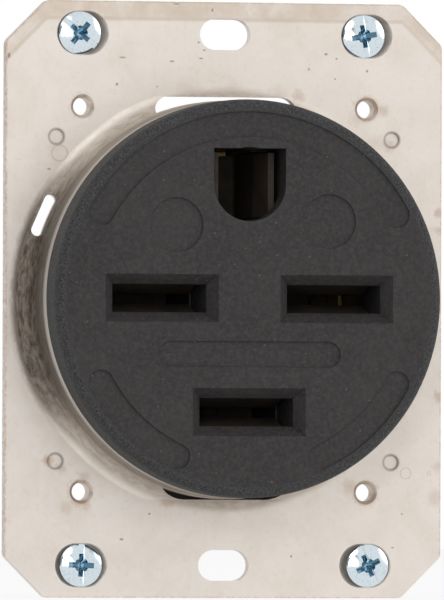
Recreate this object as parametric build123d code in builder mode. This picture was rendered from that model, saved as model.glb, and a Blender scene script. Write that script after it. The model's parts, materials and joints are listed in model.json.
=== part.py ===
# Flush power receptacle with four blade openings, for a two-gang wall box.
# A moulded face and a moulded rear housing clamp the drawn collar of a plated steel strap.
# Millimetres. X is right, Z is up and the front faces -Y. The origin is the strap's centre
# on its rear plane, and a height is a distance in front of that plane.
# A pole is one contact with its terminal. Its direction is the way it lies from the Y axis.

import os
from math import atan, degrees, radians, tan

from build123d import *

# Strap
strap_side_margin = 12.28
strap_end_margin = 5.08
strap_thickness = 2.0
strap_corner_cut = 6.5
strap_corner_round = 1.5

# Drawn collar of the strap
collar_radius = 31.1
collar_height = 9.6
collar_wall = 1.4
collar_base_round = 2.8
collar_top_round = 2.4
collar_lip_width = 3.7

# Box screws and their countersunk slots
box_screw_spacing_x = 46.04
box_screw_spacing_z = 83.34
slot_front_height = 7.0
slot_travel = 1.4
slot_angle = 40.0
centre_slot_length = 8.2
centre_slot_width = 4.83

# Tapped holes for the wall plate
plate_hole_spacing_x = 46.04
plate_hole_spacing_z = 60.33
plate_hole_radius = 1.4
plate_hole_lead_radius = 1.9
plate_hole_lead_angle = 82.0
plate_hole_flange_radius = 2.6
plate_hole_flange = 1.2

# Half-sheared dots
dot_spacing_x = 54.4
dot_spacing_z = 50.8
dot_radius = 1.2
dot_depth = 0.4

# Windows and lanced slots beside the collar, with flat lands beyond the windows
window_half_width = 11.5
window_top = 31.9
window_top_round = 2.4
window_bottom = 31.35
window_bottom_round = 5.0
window_root_ledge = 0.15
window_land_half_width = 13.2
lance_angle = 156.0
lance_length = 7.0
lance_width = 1.9

# Face
face_thickness = 6.2
face_edge_round = 1.35
lip_clearance = 0.4
parting_height = 6.0
parting_gap = 0.15
recess_depth = 0.35
name_recess_length = 29.4
name_recess_width = 4.06
name_recess_z = -8.67
spot_radius = 4.3
spots = [(-11.8, 11.4), (12.8, 12.1)]
arc_recess_radius = 27.2
arc_recess_width = 4.0
arc_recess_spans = [(29.0, 36.0), (115.0, 36.0), (209.0, 122.0)]

# Blade openings
line_offset_x = 14.05
line_offset_z = 17.7
ground_offset_z = 17.85
line_slot_length = 15.1
line_slot_width = 4.4
ground_slot_radius = 4.25
ground_slot_rise = 4.05
funnel_depth = 1.9
funnel_flare = 1.55

# Blade contacts, folded from brass strip, each with a steel spring clip round it
contact_thickness = 1.0
contact_bend = 1.2
throat_bend = 4.0
line_contact_length = 14.0
line_contact_base = 2.9
line_contact_throat = 1.2
line_contact_mouth = 2.75
line_contact_top = 11.6
ground_contact_length = 10.0
ground_contact_base = 4.6
ground_contact_throat = 3.9
ground_contact_mouth = 4.5
ground_contact_top = 13.4
contact_headroom = 0.5
throat_height = 6.5
contact_base_height = -8.0
spring_thickness = 0.6
spring_short = 1.0
contact_clearance = 0.3

# Terminals
terminal_thickness = 1.0
terminal_width = 7.4
terminal_tab_inset = 3.5
terminal_foot_outset = 2.5
rivet_radius = 1.0
rivet_head_radius = 1.5
rivet_head = 0.7
rivet_clearance = 0.05
lug_wall = 1.5
lug_side_wall = 1.3
lug_length = 9.0
lug_space = 7.4
lug_side_clearance = 0.2
lug_round = 1.0
lug_bottom_height = -20.5
plate_thickness = 1.0
plate_gap = 0.6
terminal_screw_radius = 2.0
terminal_screw_clearance = 0.05
terminal_screw_head_radius = 3.4
terminal_screw_head = 2.2
terminal_screw_slack = 0.6
screw_slot_width = 0.9
screw_slot_depth = 1.0

# Rear housing
housing_depth = 25.0
housing_core_radius = 22.5
housing_disc_height = 1.0
ring_clearance = 0.3
cover_clearance = 0.2
line_bay_wall = 3.3
ground_bay_wall = 1.9
side_bay_width = 18.0
end_bay_width = 20.0
housing_corner_round = 1.2
housing_rear_chamfer = 0.8
tail_reach = 32.6
tail_front = -1.0
tail_depth = 6.0
screw_window_clearance = 0.7
wire_entry_width = 7.2
wire_entry_round = 0.8
wire_entry_gap = 0.1
wire_funnel = 1.4
core_hollow_radius = 4.4
core_hollow_depth = 14.0

# Ground strip
strip_width = 6.0
strip_riser_outset = 6.7
strip_end_gap = 1.2
strip_clearance = 0.3

# Assembly screws
assembly_screw_offset = 12.8
assembly_screw_radius = 1.95
assembly_screw_clearance = 0.35
assembly_thread_clearance = 0.05
assembly_screw_top = 12.0
assembly_hole_top = 13.0
assembly_head_radius = 3.4
assembly_head = 2.2
assembly_head_clearance = 0.4
assembly_bore_depth = 3.0

# Box screws, held loose in the strap by fibre washers
box_head_radius = 3.4
box_head_clearance = 0.03
box_head_dome = 1.15
box_head_undercut = 0.1
box_neck_radius = 1.55
box_neck_length = 2.0
box_thread_radius = 1.72
box_screw_length = 19.0
box_tip_chamfer = 0.5
box_screw_slot_width = 0.95
box_screw_slot_depth = 0.9
box_screw_cross_width = 0.95
box_screw_cross_length = 4.2
box_screw_cross_depth = 1.5
washer_radius = 4.3
washer_thickness = 0.9
washer_clearance = 0.1

# How far each box screw has slid along its slot in the strap, and the angle of its own slot
box_screw_slides = {"upper_left": -0.45, "upper_right": -0.45, "lower_left": 0.0, "lower_right": 0.45}
box_screw_angles = {"upper_left": -40.0, "upper_right": -80.0, "lower_left": 88.0, "lower_right": -65.0}

# Each pole's direction (x, z): the poles stand on the four sides
line_poles = {"left": (-1, 0), "right": (1, 0), "bottom": (0, -1)}
poles = {**line_poles, "ground": (0, 1)}

# Sizes, heights and radii that follow from the sizes above
strap_width = box_screw_spacing_x + 2 * strap_side_margin
strap_length = box_screw_spacing_z + 2 * strap_end_margin
collar_top = strap_thickness + collar_height
collar_inner_radius = collar_radius - collar_wall
collar_inner_round = collar_top_round - collar_wall
collar_lip_radius = collar_inner_radius - collar_lip_width
cover_radius = collar_lip_radius - lip_clearance
collar_root_radius = collar_radius + collar_base_round
lip_under = collar_top - collar_wall
face_front = collar_top + face_thickness
ring_radius = collar_inner_radius - ring_clearance
ring_inner_radius = cover_radius + cover_clearance
slot_rear_half = slot_front_height / 2 - strap_thickness * tan(radians(slot_angle))
spring_under = contact_base_height - contact_thickness / 2 - spring_thickness
terminal_foot_height = spring_under - terminal_thickness / 2
terminal_foot_under = spring_under - terminal_thickness
rivet_offset = line_offset_z
terminal_tab_radius = rivet_offset - terminal_tab_inset
terminal_foot_reach = rivet_offset + terminal_foot_outset
lug_tab_face = terminal_tab_radius - terminal_thickness / 2
lug_inner_radius = lug_tab_face - lug_wall
lug_wall_radius = lug_tab_face + lug_space
lug_outer_radius = lug_wall_radius + lug_wall
lug_half_width = terminal_width / 2 + lug_side_clearance + lug_side_wall
lug_top_height = lug_bottom_height + lug_length
line_bay_reach = lug_outer_radius + line_bay_wall
plate_outer_radius = lug_wall_radius - plate_gap
plate_inner_radius = plate_outer_radius - plate_thickness
terminal_screw_height = lug_bottom_height + lug_length / 2
terminal_head_seat = lug_outer_radius + terminal_screw_slack
wire_entry_inner = lug_tab_face + terminal_thickness + wire_entry_gap
wire_entry_outer = plate_inner_radius - wire_entry_gap
assembly_head_seat = assembly_bore_depth - housing_depth
spring_reach = contact_thickness / 2 + spring_thickness
line_pocket_half = line_contact_base + spring_reach + contact_clearance
ground_pocket_half = ground_contact_base + spring_reach + contact_clearance
strip_riser_radius = rivet_offset + strip_riser_outset
strip_end_radius = collar_inner_radius - strip_end_gap
strip_riser_inner = strip_riser_radius - terminal_thickness / 2
strip_riser_outer = strip_riser_radius + terminal_thickness / 2
ground_bay_reach = strip_riser_outer + ground_bay_wall
strip_pocket_half = strip_width / 2 + strip_clearance
funnel_angle = degrees(atan(funnel_flare / funnel_depth))

# Contact centres (x, z), by pole
contact_centres = {
    "left": (-line_offset_x, 0),
    "right": (line_offset_x, 0),
    "bottom": (0, -line_offset_z),
    "ground": (0, ground_offset_z),
}


def level(height):
    """A plane at a height, with local x to the right and local y up."""
    return Plane.XZ.offset(height)


def section(x, z):
    """The plane of a turned profile, with local x a radius from (x, z) and local y a height."""
    return Plane(origin=(x, 0, z), x_dir=(1, 0, 0), z_dir=(0, 0, -1))


def spin_axis(x, z):
    return Axis((x, 0, z), (0, 1, 0))


def outward(pole):
    x, z = pole
    return Vector(x, 0, z)


def across(pole):
    x, z = pole
    return Vector(z, 0, -x)


def pole_level(pole, height):
    """A plane at a height, with local y outwards along a pole and local x across it."""
    return Plane(origin=(0, -height, 0), x_dir=across(pole), z_dir=(0, -1, 0))


def pole_section(pole):
    """The plane through a pole, with local x a distance outwards and local y a height."""
    return Plane(origin=(0, 0, 0), x_dir=outward(pole), z_dir=across(pole))


def pole_screw_plane(pole, distance):
    """The plane across a terminal screw at a distance outwards along a pole."""
    centre = outward(pole) * distance + Vector(0, -terminal_screw_height, 0)
    return Plane(origin=centre, x_dir=across(pole), z_dir=outward(pole))


def dome_middle(rim_height):
    """A point half way up the arc of a box screw's crown."""
    dome_radius = (box_head_radius**2 + box_head_dome**2) / (2 * box_head_dome)
    reach = box_head_radius / 2
    return (reach, rim_height + box_head_dome - dome_radius + (dome_radius**2 - reach**2) ** 0.5)


def leaf_section(name):
    """The plane across a contact's two leaves, with local y a height."""
    x, z = contact_centres[name]
    leaf_normal = (1, 0, 0) if name == "ground" else (0, 0, 1)
    blade_direction = (0, 0, -1) if name == "ground" else (1, 0, 0)
    return Plane(origin=(x, 0, z), x_dir=leaf_normal, z_dir=blade_direction)


def span_rectangle(low_x, high_x, low_y, high_y):
    """A rectangle between two pairs of limits, in the current sketch."""
    with Locations(((low_x + high_x) / 2, (low_y + high_y) / 2)):
        Rectangle(high_x - low_x, high_y - low_y)


def ground_outline(radius, rise):
    """The ground opening: round below and square above, in the current sketch."""
    with Locations(contact_centres["ground"]):
        Circle(radius)
    span_rectangle(-radius, radius, ground_offset_z, ground_offset_z + rise)


def contact_pocket(name):
    """The pocket round a contact and its spring, in the current sketch."""
    x, z = contact_centres[name]
    half_leaf = ground_contact_length / 2 if name == "ground" else line_contact_length / 2
    half_length = half_leaf + contact_clearance
    if name == "ground":
        span_rectangle(x - ground_pocket_half, x + ground_pocket_half, z - half_length, z + half_length)
    else:
        span_rectangle(x - half_length, x + half_length, z - line_pocket_half, z + line_pocket_half)


def strip_pocket(inner, outer):
    """Room for the ground strip between two distances along its pole, in the current sketch."""
    span_rectangle(-strip_pocket_half, strip_pocket_half, inner, outer)


def wire_entry(flare):
    """A wire's opening behind its lug, in the current sketch."""
    with Locations((0, (wire_entry_inner + wire_entry_outer) / 2)):
        width = wire_entry_width + 2 * flare
        height = wire_entry_outer - wire_entry_inner + 2 * flare
        RectangleRounded(width, height, wire_entry_round + flare)


def corner_points(spacing_x, spacing_z):
    return [(i * spacing_x / 2, j * spacing_z / 2) for i in (-1, 1) for j in (-1, 1)]


def leaf_line(name, trim=0.0):
    """The centre line of a folded contact: two leaves that pinch at the throat and flare."""
    if name == "ground":
        base, throat, mouth = ground_contact_base, ground_contact_throat, ground_contact_mouth
        top = ground_contact_top
    else:
        base, throat, mouth = line_contact_base, line_contact_throat, line_contact_mouth
        top = line_contact_top
    if trim:
        share = (throat_height - trim - contact_base_height) / (throat_height - contact_base_height)
        reach = base + (throat - base) * share
        height = throat_height - trim
        points = [(reach, height), (base, contact_base_height)]
        bends = [contact_bend, contact_bend]
    else:
        points = [(mouth, top), (throat, throat_height), (base, contact_base_height)]
        bends = [throat_bend, contact_bend, contact_bend, throat_bend]
    mirrored = [(-x, y) for x, y in reversed(points)]
    return FilletPolyline(*points, *mirrored, radius=bends)


def contact_length(name):
    return ground_contact_length if name == "ground" else line_contact_length


def label_and_write(part, name):
    part.label = name
    export_step(part, f"parts/{name}.step")


os.makedirs("parts", exist_ok=True)

# Strap: one blank with its collar drawn out of it
with BuildPart() as strap:
    with BuildSketch(level(0)) as blank:
        Rectangle(strap_width, strap_length)
        chamfer(blank.vertices(), strap_corner_cut)
        fillet(blank.vertices(), strap_corner_round)
        Circle(collar_root_radius, mode=Mode.SUBTRACT)
    extrude(amount=strap_thickness)
    with BuildSketch(section(0, 0)):
        with BuildLine():
            root = strap_thickness + collar_base_round
            shoulder = collar_top - collar_top_round
            shoulder_radius = collar_radius - collar_top_round
            rear_round = collar_base_round + collar_wall
            RadiusArc((collar_root_radius, strap_thickness), (collar_radius, root), collar_base_round)
            Line((collar_radius, root), (collar_radius, shoulder))
            RadiusArc((collar_radius, shoulder), (shoulder_radius, collar_top), -collar_top_round)
            Polyline(
                (shoulder_radius, collar_top),
                (collar_lip_radius, collar_top),
                (collar_lip_radius, lip_under),
                (shoulder_radius, lip_under),
            )
            RadiusArc(
                (shoulder_radius, lip_under),
                (collar_inner_radius, lip_under - collar_inner_round),
                collar_inner_round,
            )
            Line((collar_inner_radius, lip_under - collar_inner_round), (collar_inner_radius, rear_round))
            RadiusArc((collar_inner_radius, rear_round), (collar_root_radius, 0), -rear_round)
            Line((collar_root_radius, 0), (collar_root_radius, strap_thickness))
        make_face()
    revolve(axis=spin_axis(0, 0))
    with BuildSketch(level(0)):
        with Locations(*corner_points(plate_hole_spacing_x, plate_hole_spacing_z)):
            Circle(plate_hole_flange_radius)
    extrude(amount=-plate_hole_flange)
    with BuildSketch(level(0)):
        with Locations(*corner_points(dot_spacing_x, dot_spacing_z)):
            Circle(dot_radius)
    extrude(amount=-dot_depth)
    with BuildSketch(level(strap_thickness)):
        with Locations(*corner_points(dot_spacing_x, dot_spacing_z)):
            Circle(dot_radius)
    extrude(amount=-dot_depth, mode=Mode.SUBTRACT)
    with Locations(level(strap_thickness)):
        with Locations(*corner_points(plate_hole_spacing_x, plate_hole_spacing_z)):
            CounterSinkHole(
                plate_hole_radius,
                plate_hole_lead_radius,
                counter_sink_angle=plate_hole_lead_angle,
            )
    for slot_x, slot_z in corner_points(box_screw_spacing_x, box_screw_spacing_z):
        with BuildSketch(level(strap_thickness)):
            with Locations((slot_x, slot_z)):
                SlotCenterToCenter(slot_travel, slot_front_height)
        extrude(amount=-strap_thickness, taper=slot_angle, mode=Mode.SUBTRACT)
    with BuildSketch(level(0)):
        with Locations((0, box_screw_spacing_z / 2), (0, -box_screw_spacing_z / 2)):
            SlotOverall(centre_slot_length, centre_slot_width)
    extrude(amount=strap_thickness, mode=Mode.SUBTRACT)
    with BuildSketch(level(0)) as windows:
        span_rectangle(-window_half_width, window_half_width, -window_bottom, window_top)
        fillet(windows.vertices().group_by(Axis.Y)[-1], window_top_round)
        fillet(windows.vertices().group_by(Axis.Y)[0], window_bottom_round)
        with PolarLocations(collar_radius + lance_width / 2, 2, start_angle=lance_angle):
            SlotOverall(lance_length, lance_width, rotation=90)
        Circle(collar_radius + window_root_ledge, mode=Mode.SUBTRACT)
    extrude(amount=strap_thickness + collar_base_round, mode=Mode.SUBTRACT)
    with BuildSketch(level(strap_thickness)):
        land_end = collar_root_radius + collar_base_round
        span_rectangle(-window_land_half_width, window_land_half_width, window_top, land_end)
        span_rectangle(-window_land_half_width, window_land_half_width, -land_end, -window_bottom)
    extrude(amount=collar_base_round, mode=Mode.SUBTRACT)
label_and_write(strap.part, "strap")

# Front face: the moulded disc that the blades enter, with its cover body behind it
with BuildPart() as front_face:
    with BuildSketch(section(0, 0)):
        with BuildLine():
            cover_under = parting_height + parting_gap
            edge_start = (collar_radius, face_front - face_edge_round)
            edge_end = (collar_radius - face_edge_round, face_front)
            Polyline(
                (0, cover_under),
                (cover_radius, cover_under),
                (cover_radius, collar_top),
                (collar_radius, collar_top),
                edge_start,
            )
            RadiusArc(edge_start, edge_end, -face_edge_round)
            Polyline(edge_end, (0, face_front), (0, cover_under))
        make_face()
    revolve(axis=spin_axis(0, 0))
    line_centres = [contact_centres[name] for name in line_poles]
    with BuildSketch(level(face_front)):
        with Locations(*line_centres):
            Rectangle(line_slot_length + 2 * funnel_flare, line_slot_width + 2 * funnel_flare)
    extrude(amount=-funnel_depth, taper=funnel_angle, mode=Mode.SUBTRACT)
    with BuildSketch(level(face_front)) as funnel_mouth:
        ground_outline(ground_slot_radius + funnel_flare, ground_slot_rise + funnel_flare)
    with BuildSketch(level(face_front - funnel_depth)) as funnel_throat:
        ground_outline(ground_slot_radius, ground_slot_rise)
    loft([funnel_mouth.sketch, funnel_throat.sketch], ruled=True, mode=Mode.SUBTRACT)
    with BuildSketch(level(face_front)):
        with Locations(*line_centres):
            Rectangle(line_slot_length, line_slot_width)
        ground_outline(ground_slot_radius, ground_slot_rise)
    extrude(amount=parting_height - face_front, mode=Mode.SUBTRACT)
    with BuildSketch(level(parting_height)):
        for name in line_poles:
            contact_pocket(name)
    extrude(amount=line_contact_top + contact_headroom - parting_height, mode=Mode.SUBTRACT)
    with BuildSketch(level(parting_height)):
        contact_pocket("ground")
    extrude(amount=ground_contact_top + contact_headroom - parting_height, mode=Mode.SUBTRACT)
    with BuildSketch(pole_level(poles["ground"], parting_height)):
        strip_pocket(strip_riser_inner - strip_clearance, cover_radius + strip_clearance)
    extrude(amount=collar_top - parting_height, mode=Mode.SUBTRACT)
    with BuildSketch(level(parting_height)):
        with Locations(*corner_points(2 * assembly_screw_offset, 2 * assembly_screw_offset)):
            Circle(assembly_screw_radius + assembly_thread_clearance)
    extrude(amount=assembly_hole_top - parting_height, mode=Mode.SUBTRACT)
    with BuildSketch(level(face_front)):
        with Locations((0, name_recess_z)):
            SlotOverall(name_recess_length, name_recess_width)
        with Locations(*spots):
            Circle(spot_radius)
        for start, span in arc_recess_spans:
            SlotArc(CenterArc((0, 0), arc_recess_radius, start, span), arc_recess_width)
    extrude(amount=-recess_depth, mode=Mode.SUBTRACT)
label_and_write(front_face.part, "front_face")

# Rear housing: a core with four terminal bays, and a ring that bears under the collar's lip
with BuildPart() as rear_housing:
    with BuildSketch(level(-housing_depth)) as plan:
        Circle(housing_core_radius)
        Rectangle(2 * line_bay_reach, side_bay_width)
        span_rectangle(-end_bay_width / 2, end_bay_width / 2, -line_bay_reach, ground_bay_reach)
        fillet(plan.vertices(), housing_corner_round)
    extrude(amount=housing_depth + housing_disc_height)
    chamfer(rear_housing.faces().sort_by(Axis.Y)[-1].edges(), housing_rear_chamfer)
    with BuildSketch(level(housing_disc_height)):
        Circle(ring_radius)
    extrude(amount=parting_height - housing_disc_height)
    with BuildSketch(level(parting_height)):
        Circle(ring_radius)
        Circle(ring_inner_radius, mode=Mode.SUBTRACT)
    extrude(amount=lip_under - parting_height)
    ring_rims = rear_housing.edges().group_by(Axis.Y)[0].sort_by(SortBy.RADIUS)
    fillet(ring_rims[-1], collar_inner_round)
    with BuildSketch(level(tail_front)):
        tail_root = housing_corner_round - line_bay_reach
        span_rectangle(-end_bay_width / 2, end_bay_width / 2, -tail_reach, tail_root)
    extrude(amount=-tail_depth)
    for name, pole in poles.items():
        with BuildSketch(level(parting_height)):
            contact_pocket(name)
        extrude(amount=spring_under - parting_height, mode=Mode.SUBTRACT)
        with BuildSketch(pole_level(pole, parting_height)):
            half = lug_half_width + contact_clearance
            inner = lug_inner_radius - contact_clearance
            span_rectangle(-half, half, inner, lug_outer_radius + contact_clearance)
        extrude(amount=lug_bottom_height - parting_height, mode=Mode.SUBTRACT)
        with BuildSketch(pole_level(pole, -housing_depth)):
            wire_entry(0)
        extrude(amount=housing_depth + lug_bottom_height, mode=Mode.SUBTRACT)
        with BuildSketch(pole_level(pole, -housing_depth)) as funnel_mouth:
            wire_entry(wire_funnel)
        with BuildSketch(pole_level(pole, wire_funnel - housing_depth)) as funnel_throat:
            wire_entry(0)
        loft([funnel_mouth.sketch, funnel_throat.sketch], ruled=True, mode=Mode.SUBTRACT)
        with BuildSketch(pole_screw_plane(pole, lug_outer_radius)):
            Circle(terminal_screw_head_radius + screw_window_clearance)
        extrude(amount=ground_bay_reach, mode=Mode.SUBTRACT)
    with BuildSketch(pole_level(poles["ground"], parting_height)):
        strip_pocket(ground_offset_z, strip_riser_outer + strip_clearance)
    extrude(amount=terminal_foot_under - parting_height, mode=Mode.SUBTRACT)
    with BuildSketch(pole_level(poles["ground"], lip_under)):
        strip_pocket(cover_radius, collar_radius)
    extrude(amount=-terminal_thickness, mode=Mode.SUBTRACT)
    with BuildSketch(level(-housing_depth)):
        with Locations(*corner_points(2 * assembly_screw_offset, 2 * assembly_screw_offset)):
            Circle(assembly_screw_radius + assembly_screw_clearance)
    extrude(amount=housing_depth + parting_height, mode=Mode.SUBTRACT)
    with BuildSketch(level(-housing_depth)):
        with Locations(*corner_points(2 * assembly_screw_offset, 2 * assembly_screw_offset)):
            Circle(assembly_head_radius + assembly_head_clearance)
    extrude(amount=assembly_bore_depth, mode=Mode.SUBTRACT)
    with BuildSketch(level(-housing_depth)):
        Circle(core_hollow_radius)
    extrude(amount=core_hollow_depth, taper=2, mode=Mode.SUBTRACT)
label_and_write(rear_housing.part, "rear_housing")

# Contacts, their spring clips and the rivets that hold each stack together
for name, pole in poles.items():
    half_length = contact_length(name) / 2
    with BuildPart() as contact:
        with BuildSketch(leaf_section(name)):
            with BuildLine() as path:
                leaf_line(name)
            trace(path.line, line_width=contact_thickness)
        extrude(amount=half_length, both=True)
        with BuildSketch(pole_level(pole, contact_base_height)):
            with Locations((0, rivet_offset)):
                Circle(rivet_radius + rivet_clearance)
        extrude(amount=contact_thickness, both=True, mode=Mode.SUBTRACT)
    label_and_write(contact.part, f"contact_{name}")
    with BuildPart() as spring:
        with BuildSketch(leaf_section(name)):
            with BuildLine() as path:
                leaf_line(name, trim=spring_short)
            trace(path.line, line_width=contact_thickness + 2 * spring_thickness)
            trace(path.line, line_width=contact_thickness, mode=Mode.SUBTRACT)
            with BuildLine():
                leaf_line(name, trim=spring_short)
                Line(path.line @ 0, path.line @ 1)
            make_face(mode=Mode.SUBTRACT)
        extrude(amount=half_length, both=True)
        with BuildSketch(pole_level(pole, contact_base_height)):
            with Locations((0, rivet_offset)):
                Circle(rivet_radius + rivet_clearance)
        extrude(amount=-2 * contact_thickness, mode=Mode.SUBTRACT)
    label_and_write(spring.part, f"contact_spring_{name}")
    with BuildPart() as rivet:
        head_top = contact_base_height + contact_thickness / 2 + rivet_head
        with BuildSketch(pole_level(pole, head_top)):
            with Locations((0, rivet_offset)):
                Circle(rivet_head_radius)
        extrude(amount=-rivet_head)
        with BuildSketch(pole_level(pole, head_top)):
            with Locations((0, rivet_offset)):
                Circle(rivet_radius)
        extrude(amount=terminal_foot_under - head_top)
        with BuildSketch(pole_level(pole, terminal_foot_under)):
            with Locations((0, rivet_offset)):
                Circle(rivet_head_radius)
        extrude(amount=-rivet_head)
        chamfer(rivet.faces().sort_by(Axis.Y)[0].edges(), rivet_head / 2)
        chamfer(rivet.faces().sort_by(Axis.Y)[-1].edges(), rivet_head / 2)
    label_and_write(rivet.part, f"contact_rivet_{name}")

# Terminal plates, and the ground strip that goes on from its terminal to the strap
for name, pole in poles.items():
    tab_end = lug_bottom_height + contact_clearance
    with BuildPart() as terminal:
        with BuildSketch(pole_section(pole)):
            with BuildLine() as path:
                if name == "ground":
                    FilletPolyline(
                        (terminal_tab_radius, tab_end),
                        (terminal_tab_radius, terminal_foot_height),
                        (strip_riser_radius, terminal_foot_height),
                        (strip_riser_radius, lip_under - terminal_thickness / 2),
                        (strip_end_radius, lip_under - terminal_thickness / 2),
                        radius=contact_bend,
                    )
                else:
                    FilletPolyline(
                        (terminal_tab_radius, tab_end),
                        (terminal_tab_radius, terminal_foot_height),
                        (terminal_foot_reach, terminal_foot_height),
                        radius=contact_bend,
                    )
            trace(path.line, line_width=terminal_thickness)
        extrude(amount=(strip_width if name == "ground" else terminal_width) / 2, both=True)
        with BuildSketch(pole_level(pole, terminal_foot_height)):
            with Locations((0, rivet_offset)):
                Circle(rivet_radius + rivet_clearance)
        extrude(amount=terminal_thickness, both=True, mode=Mode.SUBTRACT)
    label_and_write(terminal.part, "ground_strip" if name == "ground" else f"terminal_plate_{name}")

# Box lugs, their pressure plates and their screws
for name, pole in poles.items():
    with BuildPart() as lug:
        with BuildSketch(pole_level(pole, lug_bottom_height)) as frame:
            span_rectangle(-lug_half_width, lug_half_width, lug_inner_radius, lug_outer_radius)
            fillet(frame.vertices(), lug_round)
            lug_space_half = lug_half_width - lug_side_wall
            with Locations((0, lug_tab_face + lug_space / 2)):
                Rectangle(2 * lug_space_half, lug_space, mode=Mode.SUBTRACT)
        extrude(amount=lug_length)
        with BuildSketch(pole_screw_plane(pole, lug_wall_radius - plate_gap / 2)):
            Circle(terminal_screw_radius + terminal_screw_clearance)
        extrude(amount=2 * lug_wall, mode=Mode.SUBTRACT)
    label_and_write(lug.part, f"terminal_lug_{name}")
    with BuildPart() as plate:
        with BuildSketch(pole_level(pole, lug_bottom_height + plate_gap)):
            with Locations((0, (plate_inner_radius + plate_outer_radius) / 2)):
                RectangleRounded(terminal_width, plate_thickness, plate_thickness / 3)
        extrude(amount=lug_length - 2 * plate_gap)
    label_and_write(plate.part, f"pressure_plate_{name}")
    with BuildPart() as screw:
        with BuildSketch(pole_screw_plane(pole, plate_outer_radius)):
            Circle(terminal_screw_radius)
        extrude(amount=terminal_head_seat - plate_outer_radius)
        with BuildSketch(pole_screw_plane(pole, terminal_head_seat)):
            Circle(terminal_screw_head_radius)
        extrude(amount=terminal_screw_head)
        fillet(screw.edges().group_by(Axis((0, 0, 0), outward(pole)))[-1], terminal_screw_head / 4)
        with BuildSketch(pole_screw_plane(pole, terminal_head_seat + terminal_screw_head)):
            Rectangle(screw_slot_width, 3 * terminal_screw_head_radius)
        extrude(amount=-screw_slot_depth, mode=Mode.SUBTRACT)
    label_and_write(screw.part, f"terminal_screw_{name}")

# Assembly screws, which draw the face to the housing from behind
assembly_names = ["lower_left", "upper_left", "lower_right", "upper_right"]
assembly_points = corner_points(2 * assembly_screw_offset, 2 * assembly_screw_offset)
for name, (x, z) in zip(assembly_names, assembly_points):
    with BuildPart() as screw:
        with BuildSketch(level(assembly_head_seat)):
            with Locations((x, z)):
                Circle(assembly_screw_radius)
        extrude(amount=assembly_screw_top - assembly_head_seat)
        chamfer(screw.faces().sort_by(Axis.Y)[0].edges(), assembly_screw_radius / 4)
        with BuildSketch(level(assembly_head_seat)):
            with Locations((x, z)):
                Circle(assembly_head_radius)
        extrude(amount=-assembly_head)
        fillet(screw.faces().sort_by(Axis.Y)[-1].edges(), assembly_head / 4)
        with BuildSketch(level(assembly_head_seat - assembly_head)):
            with Locations((x, z)):
                Rectangle(3 * assembly_head_radius, screw_slot_width, rotation=30)
        extrude(amount=screw_slot_depth, mode=Mode.SUBTRACT)
    label_and_write(screw.part, f"assembly_screw_{name}")

# Box screws with oval heads, and the fibre washers that keep them in the strap
head_rim = (box_head_radius + box_head_clearance - slot_rear_half) / tan(radians(slot_angle))
undercut_radius = slot_rear_half - box_head_clearance + box_head_undercut * tan(radians(slot_angle))
for name, turn in box_screw_angles.items():
    side_x = -1 if name.endswith("left") else 1
    side_z = -1 if name.startswith("lower") else 1
    x = side_x * box_screw_spacing_x / 2 + box_screw_slides[name]
    z = side_z * box_screw_spacing_z / 2
    with BuildPart() as screw:
        with BuildSketch(section(x, z)):
            with BuildLine():
                crown = (0, head_rim + box_head_dome)
                rim = (box_head_radius, head_rim)
                Line((0, -box_screw_length), crown)
                ThreePointArc(crown, dome_middle(head_rim), rim)
                Polyline(
                    rim,
                    (undercut_radius, box_head_undercut),
                    (box_neck_radius, box_head_undercut),
                    (box_neck_radius, -box_neck_length),
                    (box_thread_radius, -box_neck_length),
                    (box_thread_radius, box_tip_chamfer - box_screw_length),
                    (box_thread_radius - box_tip_chamfer, -box_screw_length),
                    (0, -box_screw_length),
                )
            make_face()
        revolve(axis=spin_axis(x, z))
        with BuildSketch(level(head_rim + box_head_dome)):
            with Locations(Location((x, z), turn)):
                Rectangle(3 * box_head_radius, box_screw_slot_width)
        extrude(amount=-box_screw_slot_depth, mode=Mode.SUBTRACT)
        with BuildSketch(level(head_rim + box_head_dome)):
            with Locations(Location((x, z), turn)):
                Rectangle(box_screw_cross_length, box_screw_cross_width)
                Rectangle(box_screw_cross_width, box_screw_cross_length)
        extrude(amount=-box_screw_cross_depth, mode=Mode.SUBTRACT)
    label_and_write(screw.part, f"box_screw_{name}")
    with BuildPart() as washer:
        with BuildSketch(level(0)):
            with Locations((x, z)):
                Circle(washer_radius)
                Circle(box_neck_radius + washer_clearance, mode=Mode.SUBTRACT)
        extrude(amount=-washer_thickness)
    label_and_write(washer.part, f"screw_washer_{name}")
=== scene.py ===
# Looks of the flush power receptacle: finishes, threaded screws, light and camera.
# Lengths in the dictionaries are millimetres unless a note says otherwise.
# X is right, Z is up and the face looks along -Y. A height is a distance in front of the strap's rear.
import json
import math

import bmesh
import bpy
from mathutils import Matrix, Vector


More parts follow.
